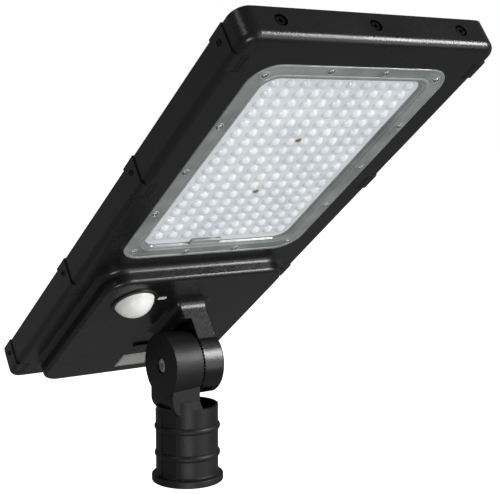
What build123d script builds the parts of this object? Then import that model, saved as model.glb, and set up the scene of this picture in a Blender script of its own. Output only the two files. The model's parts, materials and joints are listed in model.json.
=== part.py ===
from build123d import *
import os
from math import cos, pi, radians, sin, sqrt

# All-in-one solar street lamp: a lamp head that tilts on a pole-top socket. Millimetres, +Z up.
# The origin is the centre of the socket's mouth, where the pole enters. X runs along the hinge
# axis. The head points towards -Y. Head parts are drawn in the head's own plane, HEAD: its origin
# is on the hinge axis, its z leaves the solar panel and its y runs to the near (hinge) end.

os.makedirs("parts", exist_ok=True)

# ---------------------------------------------------------------- driving dimensions
POLE_D = 60.0            # pole that the socket fits
TILT = 36.0              # head's tilt at rest, six teeth of the knuckle
HINGE_Z = 131.0          # hinge axis above the socket's mouth

# pole socket
SOCKET_R = 34.0
BORE_R = POLE_D / 2 + 0.5
SOCKET_H = 85.0          # the bore runs its full height
FLANGE_R, FLANGE_H = 39.5, 8.0
BEAD_Z = (31.0, 61.0)
BEAD_R, BEAD_H = 2.2, 7.5
RIB_W, RIB_T, RIB_STEP = 5.0, 1.2, 43.0
NECK_X = 31.5            # outer face of the neck
NECK_Y0, NECK_Y1 = 24.0, 27.0   # half width at the outer face and at the inner one
SKIRT_H = 8.0            # slope that blends the neck into the tube
SET_SCREW_Z = (18.0, 46.0)
SET_SCREW_R = 4.0

# knuckle
KNUCKLE_R = 35.0
DISC_X = 33.0            # outer face of the socket's half
ARM_X0, ARM_X1 = 3.0, 27.0
ARM_Y0, ARM_Y1 = -33.0, 36.0    # arm's faces at its root
SHOULDER_X, SHOULDER_Z = -7.5, 37.0     # the root is wider, above the socket's half
TEETH = 60
TOOTH_H = 1.2
TOOTH_R0 = 22.0
BOLT_R = 5.0
BOLT_HEAD_R, BOLT_HEAD_H = 8.0, 10.0
BOLT_SINK = 14.0         # depth of the pocket for the head
NUT_POCKET_R, NUT_POCKET_D = 11.5, 9.0
FIT = 0.06               # radial clearance of the bolt in the arm

# housing, in HEAD
HEAD_W, HEAD_L = 274.0, 616.0
NEAR_Y = 161.5
FAR_Y = NEAR_Y - HEAD_L
MID_Y = (NEAR_Y + FAR_Y) / 2
UNDER_Z, TOP_Z = 75.0, 106.0
CORNER_R, EDGE_R = 15.0, 7.0
WALL = 3.0
LEDGE_W = 6.0            # ledge that carries the solar panel
BOX_W = 220.0
BOX_Y0, BOX_Y1 = -88.0, 142.0
BOX_Z = 57.5
BOX_R = 24.0
BASE_FILLET = 6.5

# solar panel
GLASS_T, FILM_T, CELL_T, SHEET_T, SEAL_T = 3.2, 0.5, 0.35, 0.5, 0.6
GLASS_TOP = TOP_Z - 0.8
PANEL_GAP = 0.5
CELL_COLS, CELL_ROWS, CELL_GAP = 4, 9, 2.0
CELL_W, CELL_L = 60.5, 63.0

# light engine
LED_COLS, LED_ROWS = 10, 18
PITCH_X, PITCH_Y = 16.6, 14.6
LED_Y = -268.0           # centre of the grid
LENS_Y = -264.5          # centre of the lens plate
LENS_W, LENS_L, LENS_R = 216.0, 313.0, 26.0
LENS_OUT_Z = 74.2        # outer face of the rim
RIM_T = 3.0
RIM_W = 18.0
SHEET_OUT_Z = 79.0       # outer face of the sheet between the domes
LENS_SHEET_T = 2.0
DOME_R, DOME_H = 6.0, 3.6
BOARD_T, CHIP_T = 1.6, 0.7
POCKET_Z = 84.8          # floor of the light engine's pocket
POCKET_FLOOR = 3.0

# battery and electronics
CELL_D, CELL_LEN, CELL_PITCH = 32.0, 70.0, 32.6
ROW_Y = (24.0, 96.0)
BATTERY_Z = BOX_Z + WALL + 3.0 + CELL_D / 2
BOARD_Y = -44.0

CLIP_Y = (-420.5, -235.0, -49.5, 135.0)
CLIP_L, CLIP_T, CLIP_LEG = 21.0, 1.6, 16.0
CLIP_PROUD = 1.3

HEAD = Plane(
    origin=(0, 0, HINGE_Z),
    x_dir=(1, 0, 0),
    z_dir=(0, sin(radians(TILT)), cos(radians(TILT))),
)
OUT = Axis(HEAD.origin, HEAD.z_dir)      # out of the solar panel


def write(piece, name):
    """Label a finished piece and write it as its own STEP file."""
    piece.part.label = name
    export_step(piece.part, f"parts/{name}.step")


def side_plane(x):
    """Plane across the hinge axis at x, its own x along HEAD's y and its own y along HEAD's z."""
    return Plane(origin=HEAD.from_local_coords((x, 0, 0)), x_dir=HEAD.y_dir, z_dir=(1, 0, 0))


def head_sketch(z):
    """Plane parallel to the solar panel, at height z in HEAD."""
    return HEAD.offset(z)


# ---------------------------------------------------------------- repeated places, in HEAD
LED_PLACES = [
    (PITCH_X * (col - (LED_COLS - 1) / 2), LED_Y + PITCH_Y * (row - (LED_ROWS - 1) / 2))
    for col in range(LED_COLS)
    for row in range(LED_ROWS)
]
BOARD_SCREWS = [(sx * 3 * PITCH_X, LED_Y + dy) for sx in (-1, 1) for dy in (-94.9, 7.3, 109.5)]
BOARD_SCREWS += [(0.0, LED_Y - 36.5), (0.0, LED_Y + 51.1)]
RIM_X = LENS_W / 2 - 6.0
RIM_Y = LENS_L / 2 - 7.0
RIM_SCREWS = [(sx * RIM_X, LENS_Y + dy) for sx in (-1, 1) for dy in (-70.5, 0.0, 70.5)]
RIM_SCREWS += [(sx * 30.0, LENS_Y + sy * RIM_Y) for sx in (-1, 1) for sy in (-1, 1)]
RIM_SCREWS += [(sx * 94.5, LENS_Y + sy * 142.0) for sx in (-1, 1) for sy in (-1, 1)]
END_SCREW_X = (-98.0, 0.0, 98.0)
END_SCREW_Z = 93.0
CLIP_SCREW_Z = 95.5
PIR_X, PIR_Y = -66.0, -45.5
INDICATOR_X, INDICATOR_Y = -33.0, -47.0
LABEL_Y = 109.0
CELL_X = [CELL_PITCH * (i - 2.5) for i in range(6)]
STRAP_SCREW_X = 103.5
BOARD_POSTS = [(sx * 88.0, BOARD_Y + sy * 24.0) for sx in (-1, 1) for sy in (-1, 1)]
STRAP_POSTS = [(sx * STRAP_SCREW_X, y) for sx in (-1, 1) for y in ROW_Y]
POST_Z = 70.5            # top of the posts in the battery bay
POST_R = 4.0
PILOT_R = 1.5            # pilot holes of the small screws
SHANK_R = 1.45

# ---------------------------------------------------------------- toothed faces of the knuckle
TOOTH_W = 2 * pi * KNUCKLE_R / TEETH
TOOTH_BASE = 0.6

with BuildPart() as tooth:
    for radius in (TOOTH_R0, KNUCKLE_R):
        size = radius / KNUCKLE_R
        with BuildSketch(Plane.YZ.offset(radius)):
            Polygon(
                (-size * TOOTH_W / 2, -0.1), (size * TOOTH_W / 2, -0.1),
                (0, size * TOOTH_H), align=None,
            )
    loft()

with BuildPart() as toothed_ring:
    with BuildSketch(Plane.XY.offset(-TOOTH_BASE)):
        Circle(KNUCKLE_R)
        Circle(TOOTH_R0, mode=Mode.SUBTRACT)
    extrude(amount=TOOTH_BASE)
    with PolarLocations(0, TEETH):
        add(tooth.part)


def knuckle_teeth(face_x, points_to):
    """The toothed ring on a knuckle face at face_x, its tips towards points_to along X."""
    face = Plane(origin=(face_x, 0, HINGE_Z), x_dir=HEAD.y_dir, z_dir=(points_to, 0, 0))
    return face.location * toothed_ring.part


socket_teeth = knuckle_teeth(0.0, 1)
arm_teeth = knuckle_teeth(ARM_X0, -1)

# ---------------------------------------------------------------- housing
# One casting: the tray, the battery box under it and the arm with its half of the knuckle.
KNUCKLE_POCKET_X = (9.0, 16.0, 23.0)
ROOT_FILLET = 9.5
ARM_ROUND = 2.0
SHOULDER_ROUND = 3.0
STEP = 0.01

with BuildPart() as housing:
    with BuildSketch(head_sketch(UNDER_Z)):
        with Locations((0, MID_Y)):
            RectangleRounded(HEAD_W, HEAD_L, CORNER_R)
    extrude(amount=TOP_Z - UNDER_Z)
    fillet(housing.edges().group_by(OUT)[0], EDGE_R)

    # battery box
    with BuildSketch(head_sketch(BOX_Z)):
        with Locations((0, (BOX_Y0 + BOX_Y1) / 2)):
            RectangleRounded(BOX_W, BOX_Y1 - BOX_Y0, BOX_R)
    extrude(amount=UNDER_Z - BOX_Z + 1.0)
    box_face = housing.faces().sort_by(OUT)[0]
    fillet(box_face.edges(), 4.0)
    base = [e for e in housing.edges() if abs(HEAD.to_local_coords(e.center()).Z - UNDER_Z) < STEP]
    base = [e for e in base if abs(HEAD.to_local_coords(e.center()).X) < BOX_W / 2 + STEP]
    base = [e for e in base if BOX_Y0 - STEP < HEAD.to_local_coords(e.center()).Y < BOX_Y1 + STEP]
    fillet(base, BASE_FILLET)

    # arm: a web from the box's face to the knuckle
    with BuildSketch(side_plane(ARM_X0)):
        Circle(KNUCKLE_R)
        with BuildLine():
            Polyline((ARM_Y0, 0), (ARM_Y0, BOX_Z + 1), (ARM_Y1, BOX_Z + 1), (-ARM_Y0, 0), close=True)
        make_face()
    extrude(amount=ARM_X1 - ARM_X0)
    taper = (ARM_Y1 + ARM_Y0) / (BOX_Z + 1)
    with BuildSketch(side_plane(SHOULDER_X)):
        with BuildLine():
            Polyline((ARM_Y0, SHOULDER_Z), (ARM_Y0, BOX_Z + 1), (ARM_Y1, BOX_Z + 1),
                     (taper * SHOULDER_Z - ARM_Y0, SHOULDER_Z), close=True)
        make_face()
    extrude(amount=ARM_X0 - SHOULDER_X)
    upright = [e for e in housing.edges() if abs(HEAD.to_local_coords(e.center()).X - SHOULDER_X) < STEP]
    fillet([e for e in upright if abs(HEAD.to_local_coords(e.center()).Y) > 30], SHOULDER_ROUND)
    outer = [e for e in housing.edges() if abs(HEAD.to_local_coords(e.center()).X - ARM_X1) < STEP]
    fillet([e for e in outer if HEAD.to_local_coords(e.center()).Z < BOX_Z - 1], ARM_ROUND)
    root = [e for e in housing.edges() if abs(HEAD.to_local_coords(e.center()).Z - BOX_Z) < STEP]
    root = [e for e in root if abs(HEAD.to_local_coords(e.center()).X - ARM_X0) < 26]
    root = [e for e in root if abs(HEAD.to_local_coords(e.center()).Y) < 40]
    fillet(root, ROOT_FILLET)

    # low rib across the box behind the arm
    with BuildSketch(head_sketch(BOX_Z - 2.5)):
        with Locations((5, 69)):
            RectangleRounded(46, 8, 3.0)
    extrude(amount=3.5)

    # inside: panel recess, panel ledge, tray and battery bay
    with BuildSketch(head_sketch(GLASS_TOP - GLASS_T - FILM_T - SHEET_T - SEAL_T)):
        with Locations((0, MID_Y)):
            RectangleRounded(HEAD_W - 2 * WALL, HEAD_L - 2 * WALL, CORNER_R - WALL)
    extrude(amount=20, mode=Mode.SUBTRACT)
    with BuildSketch(head_sketch(UNDER_Z + WALL)):
        with Locations((0, MID_Y)):
            inset = 2 * (WALL + LEDGE_W)
            RectangleRounded(HEAD_W - inset, HEAD_L - inset, CORNER_R - WALL - 3)
    extrude(amount=30, mode=Mode.SUBTRACT)
    with BuildSketch(head_sketch(BOX_Z + WALL)):
        with Locations((0, (BOX_Y0 + BOX_Y1) / 2)):
            RectangleRounded(BOX_W - 2 * WALL, BOX_Y1 - BOX_Y0 - 2 * WALL, BOX_R - WALL)
    extrude(amount=20, mode=Mode.SUBTRACT)

    # light engine: a thicker floor, the lens rebate and the board's pocket
    with BuildSketch(head_sketch(UNDER_Z + WALL - 1)):
        with Locations((0, LENS_Y)):
            RectangleRounded(LENS_W + 7, LENS_L + 7, LENS_R + 3.5)
    extrude(amount=POCKET_Z + POCKET_FLOOR - UNDER_Z - WALL + 1)
    with BuildSketch(head_sketch(UNDER_Z - 1)):
        with Locations((0, LENS_Y)):
            RectangleRounded(LENS_W + 1.2, LENS_L + 1.2, LENS_R + 0.6)
    extrude(amount=LENS_OUT_Z + RIM_T + SEAL_T - UNDER_Z + 1, mode=Mode.SUBTRACT)
    with BuildSketch(head_sketch(UNDER_Z)):
        with Locations((0, LENS_Y)):
            RectangleRounded(LENS_W - 2 * RIM_W + 2, LENS_L - 2 * RIM_W + 2, LENS_R - RIM_W + 6)
    extrude(amount=POCKET_Z - UNDER_Z, mode=Mode.SUBTRACT)

    # screw holes of the lens, the board and the way out for the board's lead
    with BuildSketch(head_sketch(UNDER_Z)):
        with Locations(*RIM_SCREWS):
            Circle(1.5)
    extrude(amount=9.0, mode=Mode.SUBTRACT)
    with BuildSketch(head_sketch(POCKET_Z - 1)):
        with Locations(*BOARD_SCREWS):
            Circle(1.25)
    extrude(amount=3.2, mode=Mode.SUBTRACT)
    with BuildSketch(head_sketch(POCKET_Z - 1)):
        with Locations((60.0, LENS_Y + 130.0)):
            Circle(5.0)
    extrude(amount=POCKET_FLOOR + 2, mode=Mode.SUBTRACT)

    # bosses behind the end wall and the side walls, for the end and clip screws
    with BuildSketch(Plane(origin=HEAD.from_local_coords((0, FAR_Y + WALL - 1, 0)),
                           x_dir=(1, 0, 0), z_dir=HEAD.y_dir)):
        with Locations(*[(x, -END_SCREW_Z) for x in END_SCREW_X]):
            Circle(7.0)
    extrude(amount=11.0)
    for side in (-1, 1):
        wall_plane = Plane(
            origin=HEAD.from_local_coords((side * (HEAD_W / 2 - WALL + 1), 0, 0)),
            x_dir=HEAD.y_dir * -side,
            z_dir=HEAD.x_dir * -side,
        )
        with BuildSketch(wall_plane):
            with Locations(*[(-side * y, CLIP_SCREW_Z) for y in CLIP_Y]):
                Circle(4.0)
        extrude(amount=9.0)

    # recesses for the clips: along the underside, over the edge and up the wall
    for side in (-1, 1):
        x_in = HEAD_W / 2 - CLIP_LEG + CLIP_PROUD
        x_wall = HEAD_W / 2 + CLIP_PROUD - CLIP_T
        for y in CLIP_Y:
            with BuildSketch(side_plane(0).offset(side * x_in)):
                with Locations((y, UNDER_Z)):
                    Rectangle(CLIP_L + 0.6, 4.2)
            extrude(amount=side * 30, mode=Mode.SUBTRACT)
            with BuildSketch(side_plane(0).offset(side * x_wall)):
                with Locations((y, (UNDER_Z + TOP_Z) / 2)):
                    Rectangle(CLIP_L + 0.6, 50)
            extrude(amount=side * 10, mode=Mode.SUBTRACT)

    # screw holes through the bosses, with round pockets for the end screws' heads
    with BuildSketch(Plane(origin=HEAD.from_local_coords((0, FAR_Y, 0)),
                           x_dir=(1, 0, 0), z_dir=HEAD.y_dir)):
        with Locations(*[(x, -END_SCREW_Z) for x in END_SCREW_X]):
            Circle(6.2)
    extrude(amount=5.5, mode=Mode.SUBTRACT)
    with BuildSketch(Plane(origin=HEAD.from_local_coords((0, FAR_Y, 0)),
                           x_dir=(1, 0, 0), z_dir=HEAD.y_dir)):
        with Locations(*[(x, -END_SCREW_Z) for x in END_SCREW_X]):
            Circle(2.55)
    extrude(amount=14.0, mode=Mode.SUBTRACT)
    for side in (-1, 1):
        with BuildSketch(side_plane(0).offset(side * (HEAD_W / 2 - WALL - 8))):
            with Locations(*[(y, CLIP_SCREW_Z) for y in CLIP_Y]):
                Circle(1.5)
        extrude(amount=side * 20, mode=Mode.SUBTRACT)

    # battery bay: windows for the sensor and the indicator, and posts for the straps and board
    with BuildSketch(head_sketch(BOX_Z + WALL - 1)):
        with Locations(*STRAP_POSTS, *BOARD_POSTS):
            Circle(POST_R)
    extrude(amount=POST_Z - BOX_Z - WALL + 1)
    with BuildSketch(head_sketch(BOX_Z + WALL + 2)):
        with Locations(*STRAP_POSTS, *BOARD_POSTS):
            Circle(PILOT_R)
    extrude(amount=12.0, mode=Mode.SUBTRACT)
    with BuildSketch(head_sketch(BOX_Z - 1)):
        with Locations((PIR_X, PIR_Y)):
            Circle(17.0)
        with Locations((INDICATOR_X, INDICATOR_Y)):
            SlotOverall(11.0, 5.0)
    extrude(amount=WALL + 2, mode=Mode.SUBTRACT)

    # knuckle: teeth, bolt hole, round pocket for the nut and cored pockets in the tip
    add(arm_teeth)
    with BuildSketch(side_plane(ARM_X0 - 5)):
        Circle(BOLT_R + FIT)
    extrude(amount=40, mode=Mode.SUBTRACT)
    with BuildSketch(side_plane(ARM_X1)):
        Circle(NUT_POCKET_R)
    extrude(amount=-NUT_POCKET_D, mode=Mode.SUBTRACT)
    with BuildSketch(head_sketch(-KNUCKLE_R - 1)):
        with Locations(*[(x, 0) for x in KNUCKLE_POCKET_X]):
            RectangleRounded(5.0, 13.0, 1.2)
    extrude(amount=8.0, mode=Mode.SUBTRACT)

write(housing, "housing")

# ---------------------------------------------------------------- pole socket
# Neck: narrower at its outer face, which rounds in to the tube. A sloped skirt joins its ends.
with BuildPart() as neck:
    with BuildSketch(Plane.XZ.offset(-NECK_Y1)):
        with BuildLine():
            Polyline((-SOCKET_R * 0.7, SOCKET_H - 6), (0, SOCKET_H - 6), (0, HINGE_Z),
                     (-NECK_X, HINGE_Z), (-NECK_X, HINGE_Z - 39))
            ThreePointArc((-NECK_X, HINGE_Z - 39), (-NECK_X + 2.6, HINGE_Z - 46.5),
                          (-SOCKET_R * 0.7, SOCKET_H - 6))
        make_face()
    extrude(amount=2 * NECK_Y1)
    with BuildSketch(Plane.XY):
        with BuildLine():
            Polyline((0, -NECK_Y1), (0, NECK_Y1), (-NECK_X, NECK_Y0), (-NECK_X, -NECK_Y0), close=True)
        make_face()
    extrude(amount=HINGE_Z, mode=Mode.INTERSECT)

with BuildPart() as neck_skirt:
    with BuildSketch(Plane.YZ):
        with BuildLine():
            Polyline((-SOCKET_R, SOCKET_H - 1), (SOCKET_R, SOCKET_H - 1),
                     (NECK_Y1 - 0.5, SOCKET_H + SKIRT_H), (0.5 - NECK_Y1, SOCKET_H + SKIRT_H), close=True)
        make_face()
    extrude(amount=-NECK_X + 3)
    with BuildSketch(Plane.XY):
        Circle(SOCKET_R)
    extrude(amount=SOCKET_H + SKIRT_H, mode=Mode.INTERSECT)

# Tube with a foot flange, beads and ribs; a neck on one side carries its half of the knuckle.
with BuildPart() as pole_socket:
    with BuildSketch(Plane.XY):
        Circle(SOCKET_R)
    extrude(amount=SOCKET_H)
    with BuildSketch(Plane.XY):
        Circle(FLANGE_R)
    extrude(amount=FLANGE_H)
    flange_foot = pole_socket.edges().filter_by(GeomType.CIRCLE).group_by(Axis.Z)
    fillet(flange_foot[0], 1.5)
    flange_rim = pole_socket.edges().filter_by(GeomType.CIRCLE)
    flange_rim = [e for e in flange_rim if abs(e.center().Z - FLANGE_H) < STEP]
    fillet([e for e in flange_rim if e.radius > SOCKET_R + 1], 1.5)
    fillet([e for e in flange_rim if e.radius < SOCKET_R + 1], 2.5)
    for z in BEAD_Z:
        with BuildSketch(Plane.XZ):
            with BuildLine():
                Line((SOCKET_R - 1, z - BEAD_H / 2), (SOCKET_R, z - BEAD_H / 2))
                ThreePointArc(
                    (SOCKET_R, z - BEAD_H / 2), (SOCKET_R + BEAD_R, z), (SOCKET_R, z + BEAD_H / 2)
                )
                Line((SOCKET_R, z + BEAD_H / 2), (SOCKET_R - 1, z + BEAD_H / 2))
                Line((SOCKET_R - 1, z + BEAD_H / 2), (SOCKET_R - 1, z - BEAD_H / 2))
            make_face()
        revolve(axis=Axis.Z)
    with BuildSketch(Plane.XY.offset(FLANGE_H - 1)):
        with Locations(*[Rot(0, 0, 180 + i * RIB_STEP) * Pos(SOCKET_R - 1, 0) for i in (-1, 0, 1)]):
            Rectangle(2 * (RIB_T + 1), RIB_W)
    extrude(amount=SOCKET_H - FLANGE_H - 5)

    add(neck)
    add(neck_skirt)
    with BuildSketch(Plane.YZ.offset(-DISC_X)):
        with Locations((0, HINGE_Z)):
            Circle(KNUCKLE_R)
    extrude(amount=DISC_X)
    rims = pole_socket.edges().filter_by(GeomType.CIRCLE)
    fillet([e for e in rims if abs(e.arc_center.X + DISC_X) < STEP and e.radius > KNUCKLE_R - 1], 0.8)
    add(socket_teeth)

    # bore for the pole: the neck stops it on one side and it is open beside the neck
    with BuildSketch(Plane.XY):
        Circle(BORE_R)
    extrude(amount=SOCKET_H, mode=Mode.SUBTRACT)

    # bolt hole and head pocket, and the set screws' holes at the back
    with BuildSketch(Plane.YZ.offset(-DISC_X)):
        with Locations((0, HINGE_Z)):
            Circle(BOLT_HEAD_R + 1.2)
    extrude(amount=BOLT_SINK, mode=Mode.SUBTRACT)
    with BuildSketch(Plane.YZ.offset(-DISC_X)):
        with Locations((0, HINGE_Z)):
            Circle(BOLT_R + 0.25)
    extrude(amount=DISC_X + 3, mode=Mode.SUBTRACT)
    with BuildSketch(Plane.XZ.offset(-SOCKET_R - 3)):
        with Locations(*[(0, z) for z in SET_SCREW_Z]):
            Circle(7.0)
    extrude(amount=5.0)
    with BuildSketch(Plane.XZ.offset(-SOCKET_R - 4)):
        with Locations(*[(0, z) for z in SET_SCREW_Z]):
            Circle(SET_SCREW_R)
    extrude(amount=10.0, mode=Mode.SUBTRACT)
write(pole_socket, "pole_socket")

# ---------------------------------------------------------------- pivot bolt, nut and set screws
HEAD_FACE_X = -DISC_X + BOLT_SINK - 2.0 - BOLT_HEAD_H
NUT_SEAT_X = ARM_X1 - NUT_POCKET_D + 0.3
NUT_AF, NUT_H, WASHER_T = 16.0, 8.0, 2.0


def across(x):
    """Plane across the hinge axis at x, centred on that axis."""
    return Plane(origin=(x, 0, HINGE_Z), x_dir=(0, 1, 0), z_dir=(1, 0, 0))


with BuildPart() as pivot_bolt:
    with BuildSketch(across(HEAD_FACE_X)):
        Circle(BOLT_HEAD_R)
    extrude(amount=BOLT_HEAD_H)
    fillet(pivot_bolt.edges().group_by(Axis.X)[0], 0.8)
    with BuildSketch(across(HEAD_FACE_X)):
        RegularPolygon(8.0 / sqrt(3), 6)
    extrude(amount=5.0, mode=Mode.SUBTRACT)
    with BuildSketch(across(HEAD_FACE_X + BOLT_HEAD_H - 1)):
        Circle(BOLT_R)
    extrude(amount=NUT_SEAT_X + WASHER_T + NUT_H + 2 - HEAD_FACE_X - BOLT_HEAD_H + 1)
    chamfer(pivot_bolt.edges().group_by(Axis.X)[-1], 0.9)
write(pivot_bolt, "pivot_bolt")

with BuildPart() as bolt_washer:
    with BuildSketch(across(HEAD_FACE_X + BOLT_HEAD_H)):
        Circle(BOLT_HEAD_R + 0.9)
        Circle(BOLT_R + 0.25, mode=Mode.SUBTRACT)
    extrude(amount=WASHER_T)
write(bolt_washer, "bolt_washer")

with BuildPart() as nut_washer:
    with BuildSketch(across(NUT_SEAT_X)):
        Circle(NUT_POCKET_R - 1.5)
        Circle(BOLT_R + 0.25, mode=Mode.SUBTRACT)
    extrude(amount=WASHER_T)
write(nut_washer, "nut_washer")

with BuildPart() as pivot_nut:
    with BuildSketch(across(NUT_SEAT_X + WASHER_T)):
        RegularPolygon(NUT_AF / sqrt(3), 6)
    extrude(amount=NUT_H)
    with BuildSketch(across(NUT_SEAT_X + WASHER_T)):
        Circle(NUT_AF / 2 + 0.4)
    extrude(amount=NUT_H, mode=Mode.INTERSECT)
    with BuildSketch(across(NUT_SEAT_X + WASHER_T)):
        Circle(BOLT_R + 0.02)
    extrude(amount=NUT_H, mode=Mode.SUBTRACT)
write(pivot_nut, "pivot_nut")

SET_HEAD_AF, SET_HEAD_H = 13.0, 5.3
with BuildPart() as set_screws:
    with BuildSketch(Plane.XZ.offset(-SOCKET_R - 3)):
        with Locations(*[(0, z) for z in SET_SCREW_Z]):
            RegularPolygon(SET_HEAD_AF / sqrt(3), 6)
    extrude(amount=-SET_HEAD_H)
    with BuildSketch(Plane.XZ.offset(-BORE_R - 0.3)):
        with Locations(*[(0, z) for z in SET_SCREW_Z]):
            Circle(SET_SCREW_R - 0.05)
    extrude(amount=-(SOCKET_R + 3 - BORE_R))
write(set_screws, "set_screws")

# ---------------------------------------------------------------- solar panel
PANEL_W, PANEL_L = HEAD_W - 2 * WALL - 2 * PANEL_GAP, HEAD_L - 2 * WALL - 2 * PANEL_GAP
PANEL_R = CORNER_R - WALL - PANEL_GAP
GLASS_Z = GLASS_TOP - GLASS_T
SHEET_Z = GLASS_Z - FILM_T - SHEET_T

with BuildPart() as panel_glass:
    with BuildSketch(head_sketch(GLASS_Z)):
        with Locations((0, MID_Y)):
            RectangleRounded(PANEL_W, PANEL_L, PANEL_R)
    extrude(amount=GLASS_T)
    chamfer(panel_glass.edges().group_by(OUT)[-1], 0.6)
write(panel_glass, "panel_glass")

with BuildPart() as solar_cells:
    with BuildSketch(head_sketch(SHEET_Z + SHEET_T)):
        with Locations((0, MID_Y)):
            with GridLocations(CELL_W + CELL_GAP, CELL_L + CELL_GAP, CELL_COLS, CELL_ROWS):
                Rectangle(CELL_W, CELL_L)
    extrude(amount=CELL_T)
write(solar_cells, "solar_cells")

with BuildPart() as panel_backsheet:
    with BuildSketch(head_sketch(SHEET_Z)):
        with Locations((0, MID_Y)):
            RectangleRounded(PANEL_W, PANEL_L, PANEL_R)
    extrude(amount=SHEET_T)
write(panel_backsheet, "panel_backsheet")

with BuildPart() as panel_gasket:
    with BuildSketch(head_sketch(SHEET_Z - SEAL_T)):
        with Locations((0, MID_Y)):
            RectangleRounded(PANEL_W - 1, PANEL_L - 1, PANEL_R)
            RectangleRounded(PANEL_W - 9, PANEL_L - 9, PANEL_R - 4, mode=Mode.SUBTRACT)
    extrude(amount=SEAL_T)
write(panel_gasket, "panel_gasket")

JUNCTION_Y, JUNCTION_H = -60.0, 12.0
with BuildPart() as panel_junction_box:
    with BuildSketch(head_sketch(SHEET_Z - JUNCTION_H)):
        with Locations((0, JUNCTION_Y)):
            RectangleRounded(60, 34, 4)
    extrude(amount=JUNCTION_H)
    fillet(panel_junction_box.edges().group_by(OUT)[0], 1.5)
    with BuildSketch(side_plane(28.0)):
        with Locations((JUNCTION_Y, SHEET_Z - JUNCTION_H / 2)):
            Circle(4.0)
    extrude(amount=6.0)
write(panel_junction_box, "panel_junction_box")

# ---------------------------------------------------------------- panel clips
# Each clip hooks under the housing, runs up its wall and presses a toe on the glass.
CLIP_OUT = HEAD_W / 2 + CLIP_PROUD
CLIP_LEG_Z = UNDER_Z + 0.4
CLIP_LIP_Z = TOP_Z + 0.1


def cross_plane(y):
    """Plane across the head at y, its own x along HEAD's x and its own y along HEAD's z."""
    return Plane(
        origin=HEAD.from_local_coords((0, y, 0)), x_dir=HEAD.x_dir, z_dir=HEAD.y_dir * -1
    )


def make_clip(side, y):
    """One clip at y, on the wall at side (-1 or 1)."""
    with BuildPart() as clip:
        with BuildSketch(cross_plane(y - CLIP_L / 2)):
            with BuildLine():
                Polyline(
                    (side * (CLIP_OUT - CLIP_LEG), CLIP_LEG_Z),
                    (side * CLIP_OUT, CLIP_LEG_Z),
                    (side * CLIP_OUT, CLIP_LIP_Z + CLIP_T),
                    (side * (CLIP_OUT - 10), CLIP_LIP_Z + CLIP_T),
                    (side * (CLIP_OUT - 10), GLASS_TOP + 0.05),
                    (side * (CLIP_OUT - 8), GLASS_TOP + 0.05),
                    (side * (CLIP_OUT - 7), CLIP_LIP_Z),
                    (side * (CLIP_OUT - CLIP_T), CLIP_LIP_Z),
                    (side * (CLIP_OUT - CLIP_T), CLIP_LEG_Z + CLIP_T),
                    (side * (CLIP_OUT - CLIP_LEG), CLIP_LEG_Z + CLIP_T),
                    close=True,
                )
            make_face()
        extrude(amount=-CLIP_L)
        bends = clip.edges().filter_by(Axis(HEAD.origin, HEAD.y_dir))
        outer = [e for e in bends if abs(abs(e.center().X) - CLIP_OUT) < STEP]
        inner = [e for e in bends if abs(abs(e.center().X) - CLIP_OUT + CLIP_T) < STEP]
        outer.sort(key=lambda e: HEAD.to_local_coords(e.center()).Z)
        inner.sort(key=lambda e: HEAD.to_local_coords(e.center()).Z)
        fillet(outer[0], 4.0)
        fillet(inner[0], 2.0)
        fillet(outer[-1], 1.5)
        for x in (CLIP_OUT - CLIP_LEG + 1.2, CLIP_OUT - CLIP_LEG + 4.6):
            with BuildSketch(cross_plane(y - CLIP_L / 2)):
                with Locations((side * x, CLIP_LEG_Z + 0.3)):
                    Circle(0.9)
            extrude(amount=-CLIP_L)
        with BuildSketch(side_plane(side * (CLIP_OUT - CLIP_T - 1))):
            with Locations((y, CLIP_SCREW_Z)):
                Circle(PILOT_R + 0.2)
        extrude(amount=side * 4, mode=Mode.SUBTRACT)
    return clip


for side, side_name in ((-1, "left"), (1, "right")):
    for number, y in enumerate(CLIP_Y, start=1):
        write(make_clip(side, y), f"clip_{side_name}_{number}")

with BuildPart() as clip_screws:
    for side in (-1, 1):
        with BuildSketch(side_plane(side * CLIP_OUT)):
            with Locations(*[(y, CLIP_SCREW_Z) for y in CLIP_Y]):
                Circle(2.7)
        extrude(amount=side * 1.7)
        with BuildSketch(side_plane(side * CLIP_OUT)):
            with Locations(*[(y, CLIP_SCREW_Z) for y in CLIP_Y]):
                Circle(SHANK_R)
        extrude(amount=-side * 10)
write(clip_screws, "clip_screws")

END_PLANE = Plane(
    origin=HEAD.from_local_coords((0, FAR_Y, 0)), x_dir=(1, 0, 0), z_dir=HEAD.y_dir
)
with BuildPart() as end_screws:
    with BuildSketch(END_PLANE.offset(1.0)):
        with Locations(*[(x, -END_SCREW_Z) for x in END_SCREW_X]):
            Circle(4.25)
    extrude(amount=4.5)
    with BuildSketch(END_PLANE.offset(1.0)):
        with Locations(*[(x, -END_SCREW_Z) for x in END_SCREW_X]):
            RegularPolygon(4.0 / sqrt(3), 6)
    extrude(amount=2.5, mode=Mode.SUBTRACT)
    with BuildSketch(END_PLANE.offset(5.0)):
        with Locations(*[(x, -END_SCREW_Z) for x in END_SCREW_X]):
            Circle(2.5)
    extrude(amount=7.5)
write(end_screws, "end_screws")

# ---------------------------------------------------------------- light engine
RIM_IN_W, RIM_IN_L = LENS_W - 2 * RIM_W - 1.2, LENS_L - 2 * RIM_W - 1.2
RIM_IN_R = 12.4
STEP_WALL = 1.2
SHEET_IN_Z = SHEET_OUT_Z + LENS_SHEET_T
DOME_SPHERE_R = (DOME_R ** 2 + DOME_H ** 2) / (2 * DOME_H)

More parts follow.
